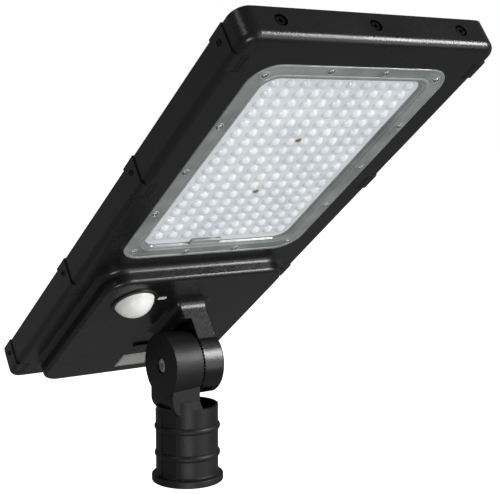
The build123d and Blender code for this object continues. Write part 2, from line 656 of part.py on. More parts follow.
with BuildPart() as dome:
    with BuildSketch(Plane.XZ):
        with BuildLine():
            Line((0, -0.5), (DOME_R, -0.5))
            Line((DOME_R, -0.5), (DOME_R, 0))
            RadiusArc((DOME_R, 0), (0, DOME_H), -DOME_SPHERE_R)
            Line((0, DOME_H), (0, -0.5))
        make_face()
    revolve(axis=Axis.Z)

with BuildPart() as lens_cover:
    with BuildSketch(head_sketch(LENS_OUT_Z)):
        with Locations((0, LENS_Y)):
            RectangleRounded(LENS_W, LENS_L, LENS_R)
            RectangleRounded(RIM_IN_W, RIM_IN_L, RIM_IN_R, mode=Mode.SUBTRACT)
    extrude(amount=RIM_T)
    fillet(lens_cover.edges().group_by(OUT)[0], 0.6)
    with BuildSketch(head_sketch(LENS_OUT_Z + RIM_T - 0.5)):
        with Locations((0, LENS_Y)):
            RectangleRounded(RIM_IN_W + 2 * STEP_WALL, RIM_IN_L + 2 * STEP_WALL, RIM_IN_R + STEP_WALL)
            RectangleRounded(RIM_IN_W, RIM_IN_L, RIM_IN_R, mode=Mode.SUBTRACT)
    extrude(amount=SHEET_IN_Z - LENS_OUT_Z - RIM_T + 0.5)
    with BuildSketch(head_sketch(SHEET_OUT_Z)):
        with Locations((0, LENS_Y)):
            RectangleRounded(RIM_IN_W + 1, RIM_IN_L + 1, RIM_IN_R + 0.5)
    extrude(amount=LENS_SHEET_T)
    down = Plane(origin=HEAD.from_local_coords((0, 0, SHEET_OUT_Z)), x_dir=(1, 0, 0), z_dir=HEAD.z_dir * -1)
    with Locations(*[down.location * Pos(x, -y) for x, y in LED_PLACES]):
        add(dome.part)
    with BuildSketch(head_sketch(LENS_OUT_Z - 1)):
        with Locations(*RIM_SCREWS):
            Circle(3.3)
    extrude(amount=2.2, mode=Mode.SUBTRACT)
    with BuildSketch(head_sketch(LENS_OUT_Z)):
        with Locations(*RIM_SCREWS):
            Circle(PILOT_R + 0.2)
    extrude(amount=RIM_T + 1, mode=Mode.SUBTRACT)
write(lens_cover, "lens_cover")

with BuildPart() as lens_gasket:
    with BuildSketch(head_sketch(LENS_OUT_Z + RIM_T)):
        with Locations((0, LENS_Y)):
            RectangleRounded(LENS_W - 1, LENS_L - 1, LENS_R - 0.5)
            RectangleRounded(RIM_IN_W + 5, RIM_IN_L + 5, RIM_IN_R + 2.5, mode=Mode.SUBTRACT)
        with Locations(*RIM_SCREWS):
            Circle(PILOT_R + 0.2, mode=Mode.SUBTRACT)
    extrude(amount=SEAL_T)
write(lens_gasket, "lens_gasket")

with BuildPart() as lens_screws:
    with BuildSketch(head_sketch(LENS_OUT_Z + 1.2)):
        with Locations(*RIM_SCREWS):
            Circle(2.8)
    extrude(amount=-1.8)
    fillet(lens_screws.edges().group_by(OUT)[0], 0.5)
    with BuildSketch(head_sketch(LENS_OUT_Z + 1.2)):
        with Locations(*RIM_SCREWS):
            Circle(SHANK_R)
    extrude(amount=8.0)
write(lens_screws, "lens_screws")

BOARD_Z = POCKET_Z - BOARD_T
with BuildPart() as led_board:
    with BuildSketch(head_sketch(BOARD_Z)):
        with Locations((0, LENS_Y)):
            RectangleRounded(RIM_IN_W - 1, RIM_IN_L - 1, RIM_IN_R)
        with Locations(*BOARD_SCREWS):
            Circle(1.7, mode=Mode.SUBTRACT)
    extrude(amount=BOARD_T)
write(led_board, "led_board")

with BuildPart() as led_chips:
    with BuildSketch(head_sketch(BOARD_Z - CHIP_T)):
        with Locations(*LED_PLACES):
            Rectangle(3.0, 3.0)
    extrude(amount=CHIP_T)
write(led_chips, "led_chips")

with BuildPart() as led_board_screws:
    with BuildSketch(head_sketch(BOARD_Z)):
        with Locations(*BOARD_SCREWS):
            Circle(2.8)
    extrude(amount=-1.6)
    with BuildSketch(head_sketch(BOARD_Z)):
        with Locations(*BOARD_SCREWS):
            Circle(1.2)
    extrude(amount=BOARD_T + 1.8)
write(led_board_screws, "led_board_screws")

# ---------------------------------------------------------------- battery
CELL_PLACES = [(x, y) for y in ROW_Y for x in CELL_X]
for number, (x, y) in enumerate(CELL_PLACES, start=1):
    with BuildPart() as cell:
        with BuildSketch(cross_plane(y - CELL_LEN / 2 + 1.5)):
            with Locations((x, BATTERY_Z)):
                Circle(CELL_D / 2)
        extrude(amount=-(CELL_LEN - 1.5))
        fillet(cell.edges(), 1.0)
        with BuildSketch(cross_plane(y - CELL_LEN / 2)):
            with Locations((x, BATTERY_Z)):
                Circle(6.0)
        extrude(amount=-2.0)
    write(cell, f"battery_cell_{number}")

ROW_W = 6 * CELL_PITCH
for y, row_name in zip(ROW_Y, ("front", "rear")):
    with BuildPart() as holder:
        with BuildSketch(head_sketch(BOX_Z + WALL)):
            with Locations((0, y)):
                RectangleRounded(ROW_W, 44.0, 2.0)
        extrude(amount=BATTERY_Z - BOX_Z - WALL - 4)
        with BuildSketch(cross_plane(y - 30)):
            with Locations(*[(x, BATTERY_Z) for x in CELL_X]):
                Circle(CELL_D / 2 + 0.1)
        extrude(amount=-60, mode=Mode.SUBTRACT)
    write(holder, f"battery_holder_{row_name}")

STRAP_T, STRAP_W = 0.8, 14.0
STRAP_X = ROW_W / 2 + 0.5
STRAP_Z = BATTERY_Z + CELL_D / 2 + 0.1
for number, y in enumerate(ROW_Y, start=1):
    with BuildPart() as strap:
        with BuildSketch(cross_plane(y - STRAP_W / 2)):
            with BuildLine():
                Polyline(
                    (-STRAP_SCREW_X - 3.4, POST_Z), (-STRAP_X, POST_Z), (-STRAP_X, STRAP_Z),
                    (STRAP_X, STRAP_Z), (STRAP_X, POST_Z), (STRAP_SCREW_X + 3.4, POST_Z),
                    (STRAP_SCREW_X + 3.4, POST_Z + STRAP_T), (STRAP_X + STRAP_T, POST_Z + STRAP_T),
                    (STRAP_X + STRAP_T, STRAP_Z + STRAP_T), (-STRAP_X - STRAP_T, STRAP_Z + STRAP_T),
                    (-STRAP_X - STRAP_T, POST_Z + STRAP_T), (-STRAP_SCREW_X - 3.4, POST_Z + STRAP_T),
                    close=True,
                )
            make_face()
        extrude(amount=-STRAP_W)
        with BuildSketch(head_sketch(POST_Z - 1)):
            with Locations(*[(sx * STRAP_SCREW_X, y) for sx in (-1, 1)]):
                Circle(PILOT_R + 0.2)
        extrude(amount=4, mode=Mode.SUBTRACT)
    write(strap, f"battery_strap_{number}")


def post_screws(places, z):
    """Pan-head screws whose heads sit at z in HEAD, above the posts."""
    with BuildPart() as screws:
        with BuildSketch(head_sketch(z)):
            with Locations(*places):
                Circle(2.6)
        extrude(amount=1.8)
        with BuildSketch(head_sketch(z)):
            with Locations(*places):
                Circle(SHANK_R)
        extrude(amount=-7.5)
    return screws


write(post_screws(STRAP_POSTS, POST_Z + STRAP_T), "strap_screws")

# ---------------------------------------------------------------- controller
CARD_TOP = POST_Z + BOARD_T
with BuildPart() as controller_board:
    with BuildSketch(head_sketch(POST_Z)):
        with Locations((0, BOARD_Y)):
            RectangleRounded(190, 56, 2)
        with Locations(*BOARD_POSTS):
            Circle(PILOT_R + 0.2, mode=Mode.SUBTRACT)
    extrude(amount=BOARD_T)
write(controller_board, "controller_board")
write(post_screws(BOARD_POSTS, CARD_TOP), "controller_screws")

with BuildPart() as power_components:
    with BuildSketch(head_sketch(CARD_TOP)):
        with Locations((-20, -36), (2, -30), (18, -30)):
            Circle(6.5)
    extrude(amount=13.0)
    with BuildSketch(head_sketch(CARD_TOP)):
        with Locations((-52, -34)):
            RectangleRounded(26, 22, 2)
        with Locations((-52, -60)):
            RectangleRounded(18, 14, 1)
    extrude(amount=9.0)
    with BuildSketch(head_sketch(CARD_TOP)):
        with Locations((8, -52), (-12, -58), (78, -46)):
            Rectangle(12, 9)
    extrude(amount=3.0)
write(power_components, "power_components")

TERMINAL_X, TERMINAL_Y, TERMINAL_H = 48.0, -63.0, 10.0
with BuildPart() as terminal_block:
    with BuildSketch(head_sketch(CARD_TOP)):
        with Locations((TERMINAL_X, TERMINAL_Y)):
            Rectangle(42, 10)
    extrude(amount=TERMINAL_H)
    with BuildSketch(head_sketch(CARD_TOP + TERMINAL_H - 3)):
        with Locations((TERMINAL_X, TERMINAL_Y)):
            with GridLocations(6.6, 1, 6, 1):
                Circle(2.2)
    extrude(amount=5, mode=Mode.SUBTRACT)
write(terminal_block, "terminal_block")

# ---------------------------------------------------------------- sensor, indicator and label
with BuildPart() as sensor_board:
    with BuildSketch(head_sketch(BOX_Z + WALL)):
        with Locations((PIR_X, PIR_Y)):
            RectangleRounded(39, 39, 2)
    extrude(amount=BOARD_T)
write(sensor_board, "sensor_board")

with BuildPart() as pir_sensor:
    with BuildSketch(head_sketch(BOX_Z + WALL)):
        with Locations((PIR_X, PIR_Y)):
            Circle(5.0)
    extrude(amount=-0.6)
    with BuildSketch(head_sketch(BOX_Z + WALL)):
        with Locations((PIR_X, PIR_Y)):
            Circle(4.3)
    extrude(amount=-4.4)
write(pir_sensor, "pir_sensor")

PIR_R, PIR_H, PIR_T, PIR_FOOT = 21.8, 17.0, 1.0, 2.0
BEZEL_H, BEZEL_IN, BEZEL_OUT = 2.0, 22.0, 25.5
PIR_AXIS = Axis(HEAD.from_local_coords((PIR_X, PIR_Y, 0)), HEAD.z_dir)


def dome_solid(radius, height):
    """A round dome that hangs from the box's face at the sensor, on a short straight foot."""
    crown = height - PIR_FOOT
    sphere_r = (radius ** 2 + crown ** 2) / (2 * crown)
    middle = radius / sqrt(2)
    drop = sqrt(sphere_r ** 2 - middle ** 2) - (sphere_r - crown)
    with BuildPart() as solid:
        with BuildSketch(cross_plane(PIR_Y)):
            with BuildLine():
                Polyline((PIR_X, BOX_Z - height), (PIR_X, BOX_Z), (PIR_X + radius, BOX_Z),
                         (PIR_X + radius, BOX_Z - PIR_FOOT))
                ThreePointArc(
                    (PIR_X + radius, BOX_Z - PIR_FOOT),
                    (PIR_X + middle, BOX_Z - PIR_FOOT - drop),
                    (PIR_X, BOX_Z - height),
                )
            make_face()
        revolve(axis=PIR_AXIS)
    return solid.part


with BuildPart() as pir_lens:
    add(dome_solid(PIR_R, PIR_H))
    add(dome_solid(PIR_R - PIR_T, PIR_H - PIR_T), mode=Mode.SUBTRACT)
write(pir_lens, "pir_lens")

with BuildPart() as pir_bezel:
    with BuildSketch(head_sketch(BOX_Z - BEZEL_H)):
        with Locations((PIR_X, PIR_Y)):
            Circle(BEZEL_OUT)
            Circle(BEZEL_IN, mode=Mode.SUBTRACT)
    extrude(amount=BEZEL_H)
    bezel_edge = pir_bezel.edges().group_by(OUT)[0].sort_by(SortBy.RADIUS)[-1]
    fillet(bezel_edge, 1.0)
write(pir_bezel, "pir_bezel")

with BuildPart() as indicator_window:
    with BuildSketch(head_sketch(BOX_Z - 0.5)):
        with Locations((INDICATOR_X, INDICATOR_Y)):
            SlotOverall(10.6, 4.6)
    extrude(amount=WALL + 0.5)
    with BuildSketch(head_sketch(BOX_Z + WALL)):
        with Locations((INDICATOR_X, INDICATOR_Y)):
            RectangleRounded(14, 8, 1)
    extrude(amount=1.0)
write(indicator_window, "indicator_window")

with BuildPart() as rating_label:
    with BuildSketch(head_sketch(BOX_Z - 0.3)):
        with Locations((0, LABEL_Y)):
            RectangleRounded(40, 30, 1.0)
    extrude(amount=0.3)
write(rating_label, "rating_label")

# ---------------------------------------------------------------- leads
LEAD_HOLE = (60.0, LENS_Y + 130.0)


def make_lead(points, bend, radius):
    """Round lead swept through points given in HEAD, its corners rounded by bend."""
    world = [HEAD.from_local_coords(p) for p in points]
    with BuildPart() as lead:
        with BuildLine() as route:
            FilletPolyline(*world, radius=bend)
        with BuildSketch(Plane(origin=route.wires()[0] @ 0, z_dir=route.wires()[0] % 0)):
            Circle(radius)
        sweep(path=route.wires()[0])
    return lead


with BuildPart() as led_grommet:
    with BuildSketch(head_sketch(POCKET_Z + 0.1)):
        with Locations(LEAD_HOLE):
            Circle(4.9)
    extrude(amount=POCKET_FLOOR)
    with BuildSketch(head_sketch(POCKET_Z + POCKET_FLOOR)):
        with Locations(LEAD_HOLE):
            Circle(6.5)
    extrude(amount=1.5)
    with BuildSketch(head_sketch(POCKET_Z)):
        with Locations(LEAD_HOLE):
            Circle(2.3)
    extrude(amount=6, mode=Mode.SUBTRACT)
write(led_grommet, "led_grommet")

TERMINAL_TOP = CARD_TOP + TERMINAL_H
led_lead = make_lead(
    [
        (LEAD_HOLE[0], LEAD_HOLE[1], POCKET_Z + 0.05), (LEAD_HOLE[0], LEAD_HOLE[1], 95.0),
        (LEAD_HOLE[0], TERMINAL_Y, 95.0), (LEAD_HOLE[0], TERMINAL_Y, TERMINAL_TOP),
    ],
    3.5, 1.8,
)
write(led_lead, "led_lead")
panel_lead = make_lead(
    [
        (34.0, JUNCTION_Y, SHEET_Z - JUNCTION_H / 2), (44.7, JUNCTION_Y, SHEET_Z - JUNCTION_H / 2),
        (44.7, TERMINAL_Y, SHEET_Z - JUNCTION_H / 2 - 4), (44.7, TERMINAL_Y, TERMINAL_TOP),
    ],
    2.0, 1.8,
)
write(panel_lead, "panel_lead")
battery_lead = make_lead(
    [
        (CELL_X[4], ROW_Y[0] - CELL_LEN / 2, BATTERY_Z), (CELL_X[4], -30.0, BATTERY_Z),
        (CELL_X[4], TERMINAL_Y + 5.3, BATTERY_Z - 1.5),
    ],
    4.0, 1.8,
)
write(battery_lead, "battery_lead")
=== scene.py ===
import json
import math

import bmesh
import bpy
from mathutils import Matrix, Vector


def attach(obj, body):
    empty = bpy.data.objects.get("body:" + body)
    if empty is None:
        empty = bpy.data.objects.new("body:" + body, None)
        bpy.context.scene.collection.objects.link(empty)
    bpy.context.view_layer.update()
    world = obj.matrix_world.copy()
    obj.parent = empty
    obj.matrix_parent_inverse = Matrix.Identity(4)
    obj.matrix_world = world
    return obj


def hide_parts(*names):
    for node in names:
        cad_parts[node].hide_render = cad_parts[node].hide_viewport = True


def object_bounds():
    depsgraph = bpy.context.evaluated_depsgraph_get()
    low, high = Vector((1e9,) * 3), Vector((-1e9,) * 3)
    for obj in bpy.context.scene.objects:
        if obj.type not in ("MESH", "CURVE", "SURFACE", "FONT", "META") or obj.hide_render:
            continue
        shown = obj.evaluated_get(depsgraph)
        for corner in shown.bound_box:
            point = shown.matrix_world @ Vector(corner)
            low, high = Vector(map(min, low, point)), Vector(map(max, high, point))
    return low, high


# Solar street lamp: its finishes, the pieces with finer detail than the frame, light and camera.
# Metres, +Z up, the lamp head towards -Y. The head's pieces are drawn in the head's own plane.

MM = 0.001
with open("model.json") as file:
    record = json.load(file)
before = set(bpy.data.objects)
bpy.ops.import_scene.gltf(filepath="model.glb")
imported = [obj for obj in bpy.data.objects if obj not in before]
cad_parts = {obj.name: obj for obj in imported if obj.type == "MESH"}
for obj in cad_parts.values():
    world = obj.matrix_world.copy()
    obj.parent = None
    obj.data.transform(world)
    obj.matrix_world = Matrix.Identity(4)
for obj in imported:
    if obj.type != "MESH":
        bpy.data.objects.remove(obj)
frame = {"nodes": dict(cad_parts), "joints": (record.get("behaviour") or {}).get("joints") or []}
cad_lo, cad_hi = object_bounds()
NODES = frame["nodes"]
JOINT = frame["joints"][0]
HEAD_BODY = JOINT["child"]

# ---------------------------------------------------------------- the head's own plane
TILT = -math.radians(JOINT["range_deg"][0])
HEAD = Matrix(
    (
        (1, 0, 0, JOINT["pos_m"][0]),
        (0, math.cos(TILT), math.sin(TILT), JOINT["pos_m"][1]),
        (0, -math.sin(TILT), math.cos(TILT), JOINT["pos_m"][2]),
        (0, 0, 0, 1),
    )
)
TO_HEAD = HEAD.inverted()


def head_box(node):
    """Lowest and highest corner of a CAD node in the head's plane, in metres."""
    points = [TO_HEAD @ v.co for v in NODES[node].data.vertices]
    low = Vector([min(p[i] for p in points) for i in range(3)])
    high = Vector([max(p[i] for p in points) for i in range(3)])
    return low, high


# ---------------------------------------------------------------- camera and light
CAMERA_AT = Vector((-0.637, -1.068, 0.394))
CAMERA_TO = Vector((0.5558, 0.8241, -0.1091))
SENSOR, FOCAL = 36, 83.05
camera = bpy.data.objects.new("camera", bpy.data.cameras.new("camera"))
bpy.context.scene.collection.objects.link(camera)
camera.location = CAMERA_AT
camera.rotation_mode = "QUATERNION"
camera.rotation_quaternion = CAMERA_TO.to_track_quat("-Z", "Y")
camera.data.sensor_width = SENSOR
camera.data.lens = FOCAL
bpy.context.scene.camera = camera
bpy.context.scene.view_settings.view_transform = "Standard"

CENTRE = (cad_lo + cad_hi) / 2


def softbox(name, direction, distance, size, power):
    """An area light that looks at the lamp from a direction, and isn't seen itself."""
    data = bpy.data.lights.new(name, "AREA")
    data.shape = "RECTANGLE"
    data.size, data.size_y = size
    data.energy = power
    light = bpy.data.objects.new(name, data)
    bpy.context.scene.collection.objects.link(light)
    way = Vector(direction).normalized()
    light.location = CENTRE + way * distance
    light.rotation_mode = "QUATERNION"
    light.rotation_quaternion = (-way).to_track_quat("-Z", "Y")
    light.visible_camera = False
    return light


softbox("key_strip", (0.60, -0.70, 0.38), 2.2, (0.5, 0.9), 36)
softbox("key_wide", (0.62, -0.66, 0.42), 2.3, (1.1, 1.1), 3.5)
softbox("front", (0.50, -0.85, -0.10), 2.0, (1.2, 1.2), 8)
softbox("top_left", (-0.76, -0.19, 0.62), 2.2, (0.6, 0.6), 4)
softbox("low_left", (-0.41, -0.76, -0.46), 1.9, (0.5, 0.6), 9)
panel_light = softbox("panel_light", (-0.25, 0.62, 0.74), 2.0, (1.7, 1.7), 60)
panel_light.visible_glossy = False
fill = softbox("fill", (-0.05, -0.70, -0.70), 1.7, (1.6, 1.2), 17)
fill.visible_glossy = False

# white behind the lamp, and a dim surround for its reflections
SURROUND, BACKDROP = 0.16, 1.0
world = bpy.data.worlds.new("studio")
bpy.context.scene.world = world
world.use_nodes = True
surround = world.node_tree.nodes["Background"]
surround.inputs["Color"].default_value = (1, 1, 1, 1)
path = world.node_tree.nodes.new("ShaderNodeLightPath")
level = world.node_tree.nodes.new("ShaderNodeMapRange")
level.inputs["To Min"].default_value = SURROUND
level.inputs["To Max"].default_value = BACKDROP
world.node_tree.links.new(path.outputs["Is Camera Ray"], level.inputs["Value"])
world.node_tree.links.new(level.outputs["Result"], surround.inputs["Strength"])
world.cycles_visibility.transmission = False


# ---------------------------------------------------------------- material helpers
class Paint:
    """A Principled material and short ways to add nodes to it."""

    def __init__(self, name, colour, rough, **sockets):
        self.mat = bpy.data.materials.new(name)
        self.mat.use_nodes = True
        self.tree = self.mat.node_tree
        self.shader = self.tree.nodes["Principled BSDF"]
        self.shader.inputs["Base Color"].default_value = (*colour, 1)
        self.shader.inputs["Roughness"].default_value = rough
        for socket, value in sockets.items():
            self.shader.inputs[socket.replace("_", " ")].default_value = value
        self.coords = self.add("ShaderNodeTexCoord").outputs["Object"]
        self.normal = None

    def add(self, kind, **values):
        node = self.tree.nodes.new(kind)
        for key, value in values.items():
            setattr(node, key, value)
        return node

    def link(self, a, b):
        self.tree.links.new(a, b)

    def noise(self, scale, detail, rough=0.55, vector=None):
        node = self.add("ShaderNodeTexNoise")
        node.inputs["Scale"].default_value = scale
        node.inputs["Detail"].default_value = detail
        node.inputs["Roughness"].default_value = rough
        self.link(vector or self.coords, node.inputs["Vector"])
        return node.outputs["Fac"]

    def range(self, value, low, high, to_low, to_high):
        """Map low..high to to_low..to_high, clamped."""
        node = self.add("ShaderNodeMapRange")
        for key, number in (
            ("From Min", low), ("From Max", high), ("To Min", to_low), ("To Max", to_high),
        ):
            node.inputs[key].default_value = number
        self.link(value, node.inputs["Value"])
        return node.outputs["Result"]

    def math(self, operation, a, b=None):
        node = self.add("ShaderNodeMath", operation=operation)
        for i, value in enumerate((a, b)):
            if value is None:
                continue
            if isinstance(value, (int, float)):
                node.inputs[i].default_value = value
            else:
                self.link(value, node.inputs[i])
        return node.outputs[0]

    def mix(self, factor, a, b):
        """Colour between a and b."""
        node = self.add("ShaderNodeMix", data_type="RGBA")
        for i, value in ((0, factor), (6, a), (7, b)):
            if isinstance(value, tuple):
                node.inputs[i].default_value = (*value, 1)
            elif isinstance(value, (int, float)):
                node.inputs[i].default_value = value
            else:
                self.link(value, node.inputs[i])
        return node.outputs[2]

    def bump(self, height, distance):
        """Bump by a height from 0 to 1, distance metres tall, over any bump made before."""
        node = self.add("ShaderNodeBump")
        node.inputs["Distance"].default_value = distance
        node.inputs["Strength"].default_value = 1.0
        self.link(height, node.inputs["Height"])
        if self.normal is not None:
            self.link(self.normal, node.inputs["Normal"])
        self.normal = node.outputs["Normal"]
        self.link(self.normal, self.shader.inputs["Normal"])

    def colour(self, value):
        self.link(value, self.shader.inputs["Base Color"])

    def rough(self, value):
        self.link(value, self.shader.inputs["Roughness"])

    def edges(self, radius):
        """1 within radius of an edge, 0 on flats."""
        bevel = self.add("ShaderNodeBevel", samples=6)
        bevel.inputs["Radius"].default_value = radius
        geometry = self.add("ShaderNodeNewGeometry")
        dot = self.add("ShaderNodeVectorMath", operation="DOT_PRODUCT")
        self.link(bevel.outputs[0], dot.inputs[0])
        self.link(geometry.outputs["Normal"], dot.inputs[1])
        bent, flat = 0.80, 0.995
        return self.range(dot.outputs["Value"], bent, flat, 1.0, 0.0)


def put(paint, *names):
    """Give nodes of the frame a finished material."""
    for name in names:
        for slot in NODES[name].material_slots:
            slot.material = paint.mat


POWDER_BUMP = 0.10 * MM
RUB_WIDTH = 0.9 * MM     # how far wear reaches from an edge


def powder(name, colour, rough, peel=1.0, wear=0.5):
    """Black powder coat: fine grain, faint orange peel, handling marks and rubbed edges."""
    p = Paint(name, colour, rough)
    grain = p.noise(950, 2)
    peel_noise = p.noise(260, 3)
    cloud = p.noise(9, 4, 0.6)
    dust = p.noise(900, 2, 0.7)
    cloud_rough = p.range(cloud, 0.3, 0.7, rough - 0.05, rough + 0.06)
    p.rough(p.math("ADD", cloud_rough, p.range(grain, 0.3, 0.7, -0.03, 0.03)))
    patches = p.range(p.noise(120, 4), 0.45, 0.75, 0.0, wear)
    rubbed = p.math("MULTIPLY", p.edges(RUB_WIDTH), patches)
    brighter = tuple(3.2 * c + 0.035 * wear for c in colour)
    lighter = tuple(1.5 * c for c in colour)
    flecks = p.range(dust, 0.70, 0.80, 0.0, 0.35)
    base = p.mix(p.range(cloud, 0.35, 0.7, 0.0, 1.0), colour, lighter)
    p.colour(p.mix(rubbed, p.mix(flecks, base, brighter), brighter))
    p.bump(peel_noise, POWDER_BUMP * peel)
    p.bump(grain, POWDER_BUMP)
    return p


def metal(name, colour, rough):
    """Metal with fine brushing and a little tarnish."""
    p = Paint(name, colour, rough, Metallic=1.0)
    stretch = p.add("ShaderNodeMapping")
    stretch.inputs["Scale"].default_value = (1, 1, 9)
    p.link(p.coords, stretch.inputs["Vector"])
    lines = p.noise(700, 3, 0.6, stretch.outputs[0])
    stain = p.noise(160, 4)
    p.rough(p.range(lines, 0.3, 0.7, rough - 0.07, rough + 0.10))
    tarnish = tuple(c * 0.55 for c in colour)
    p.colour(p.mix(p.range(stain, 0.45, 0.75, 0.0, 0.6), colour, tarnish))
    p.bump(lines, 0.03 * MM)
    return p


def plastic(name, colour, rough, tint=1.25):
    """Moulded plastic or rubber with a fine grain and slight shade changes."""
    p = Paint(name, colour, rough)
    cloud = p.noise(40, 4)
    fine = p.noise(1800, 2)
    lighter = tuple(c * tint for c in colour)
    p.colour(p.mix(p.range(cloud, 0.3, 0.7, 0.0, 1.0), colour, lighter))
    p.rough(p.range(fine, 0.3, 0.7, rough - 0.05, rough + 0.06))
    p.bump(fine, 0.04 * MM)
    return p


# ---------------------------------------------------------------- mesh helpers
def in_metres(rows):
    """Rows of numbers in millimetres as tuples in metres."""
    return [tuple(v * MM for v in row) for row in rows]


def on_circle(radius, i, count):
    """Point i of count on a circle about the origin."""
    a = 2 * math.pi * i / count
    return radius * math.cos(a), radius * math.sin(a)


def bridge(bm, lower, upper):
    """Quads between two closed loops of as many vertices."""
    n = len(lower)
    for i in range(n):
        j = (i + 1) % n
        bm.faces.new((lower[i], lower[j], upper[j], upper[i]))


def rounded_loop(half_x, half_y, radius, steps):
    """Points of a rounded rectangle about the origin, anticlockwise."""
    points = []
    for quarter, (sx, sy) in enumerate(((1, 1), (-1, 1), (-1, -1), (1, -1))):
        cx, cy = sx * (half_x - radius), sy * (half_y - radius)
        for i in range(steps + 1):
            a = math.radians(90 * quarter + 90 * i / steps)
            points.append((cx + radius * math.cos(a), cy + radius * math.sin(a)))
    return points


def piece(name, bm, paint, body, replaces=(), smooth=40):
    """Finish a bmesh as a piece that rides on a body."""
    bmesh.ops.recalc_face_normals(bm, faces=bm.faces)
    mesh = bpy.data.meshes.new(name)
    bm.to_mesh(mesh)
    bm.free()
    mesh.materials.append(paint.mat)
    obj = bpy.data.objects.new(name, mesh)
    bpy.context.scene.collection.objects.link(obj)
    mesh.shade_smooth()
    mesh.set_sharp_from_angle(angle=math.radians(smooth))
    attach(obj, body)
    if replaces:
        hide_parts(*replaces)
    return obj


def sweep_band(bm, centre, half_x, half_y, profile, steps):
    """Loops of a rounded rectangle in the head's plane, joined by quads.

    profile is (inset, corner radius, height) in metres.
    """
    rows = []
    for inset, radius, z in profile:
        loop = rounded_loop(half_x - inset, half_y - inset, radius, steps)
        rows.append([
            bm.verts.new(HEAD @ Vector((centre[0] + x, centre[1] + y, z))) for x, y in loop
        ])
    for lower, upper in zip(rows, rows[1:]):
        bridge(bm, lower, upper)
    return rows


def turned(bm, place, profile, segments, cap_first=True, cap_last=True):
    """Revolve (radius, height) pairs about place's z axis. A last radius of 0 makes a point."""
    rows = []
    for r, z in profile:
        points = [on_circle(r, i, segments) for i in range(segments)] if r > 0 else [(0, 0)]
        rows.append([bm.verts.new(place @ Vector((x, y, z))) for x, y in points])
    for lower, upper in zip(rows, rows[1:]):
        if len(upper) > 1:
            bridge(bm, lower, upper)
        else:
            for i in range(segments):
                bm.faces.new((lower[i], lower[(i + 1) % segments], upper[0]))
    if cap_first:
        bm.faces.new(list(reversed(rows[0])))
    if cap_last:
        bm.faces.new(rows[-1])
    return rows


SCREW_SEGMENTS = 28
RECESS = 0.45            # depth of a screw's cross, as a share of its head's height


def cross_head(bm, place, radius, height):
    """Pan head of a screw with a cross recess. place is on the seat, z outwards."""
    crown = [
        (radius * 0.97, 0.0), (radius, height * 0.25), (radius * 0.96, height * 0.55),
        (radius * 0.84, height * 0.82), (radius * 0.66, height * 0.96),
    ]
    outer = turned(bm, place, crown, SCREW_SEGMENTS, cap_last=False)[-1]
    arm, half_slot = radius * 0.56, radius * 0.13
    notch = half_slot * 1.5
    floor_scale = 0.72
    plus = [
        (arm, -half_slot), (arm, half_slot), (notch, notch), (half_slot, arm), (-half_slot, arm),
        (-notch, notch), (-arm, half_slot), (-arm, -half_slot), (-notch, -notch),
        (-half_slot, -arm), (half_slot, -arm), (notch, -notch),
    ]
    top = [bm.verts.new(place @ Vector((x, y, height))) for x, y in plus]
    low = [
        bm.verts.new(place @ Vector((x * floor_scale, y * floor_scale, height * (1 - RECESS))))
        for x, y in plus
    ]
    rim_edges = [bm.edges.get((a, b)) for a, b in zip(outer, outer[1:] + outer[:1])]
    top_edges = [bm.edges.new((a, b)) for a, b in zip(top, top[1:] + top[:1])]
    bmesh.ops.triangle_fill(
        bm, use_beauty=True, edges=rim_edges + top_edges, use_dissolve=False
    )
    bridge(bm, top, low)
    bm.faces.new(low)


def outward(point, direction, spin=0.0):
    """Matrix at a head-plane point, in millimetres, whose z follows a head-plane direction."""
    turn = Vector(direction).to_track_quat("Z", "Y").to_matrix().to_4x4()
    return HEAD @ Matrix.Translation(Vector(point) * MM) @ turn @ Matrix.Rotation(spin, 4, "Z")


# ---------------------------------------------------------------- finishes for the frame's nodes
BLACK = (0.0045, 0.0045, 0.0048)
head_black = powder("head_powder", BLACK, 0.27)
socket_black = powder("socket_powder", (0.0055, 0.0055, 0.0057), 0.46, peel=1.6)
socket_black.shader.inputs["Specular IOR Level"].default_value = 0.38
clip_black = powder("clip_powder", (0.0040, 0.0040, 0.0043), 0.26, peel=0.7, wear=1.0)
steel = metal("screw_steel", (0.62, 0.61, 0.59), 0.28)
zinc = metal("zinc_steel", (0.80, 0.78, 0.74), 0.24)
brass = metal("brass_screw", (0.62, 0.50, 0.34), 0.30)
oxide = metal("black_oxide", (0.030, 0.030, 0.032), 0.34)
rubber = plastic("black_rubber", (0.008, 0.008, 0.008), 0.6)
dark_plastic = plastic("dark_plastic", (0.008, 0.008, 0.009), 0.42)
white_sheet = plastic("white_sheet", (0.78, 0.78, 0.77), 0.5, tint=1.05)
wrap_blue = plastic("battery_wrap", (0.02, 0.09, 0.30), 0.3, tint=1.3)
green_mask = plastic("board_green", (0.01, 0.11, 0.04), 0.3, tint=1.6)
terminal_green = plastic("terminal_green", (0.02, 0.20, 0.06), 0.45)
red_wire = plastic("red_wire", (0.42, 0.02, 0.015), 0.42)
phosphor = plastic("led_phosphor", (0.80, 0.62, 0.16), 0.5, tint=1.1)
frosted = plastic("frosted_window", (0.46, 0.48, 0.48), 0.30, tint=1.05)
put(head_black, "housing")
put(socket_black, "pole_socket")
CLIPS = [n for n in NODES if n.startswith("clip_") and n != "clip_screws"]
put(clip_black, *CLIPS)
put(zinc, "pivot_bolt", "pivot_nut", "bolt_washer", "nut_washer")
put(oxide, "set_screws", "end_screws")
put(steel, "led_board_screws", "strap_screws", "controller_screws", "battery_strap_1",
    "battery_strap_2", "pir_sensor")
put(rubber, "panel_gasket", "lens_gasket", "led_grommet", "led_lead", "panel_lead")
put(dark_plastic, "panel_junction_box", "battery_holder_front", "battery_holder_rear",
    "power_components", "pir_bezel")
put(white_sheet, "panel_backsheet", "led_board")
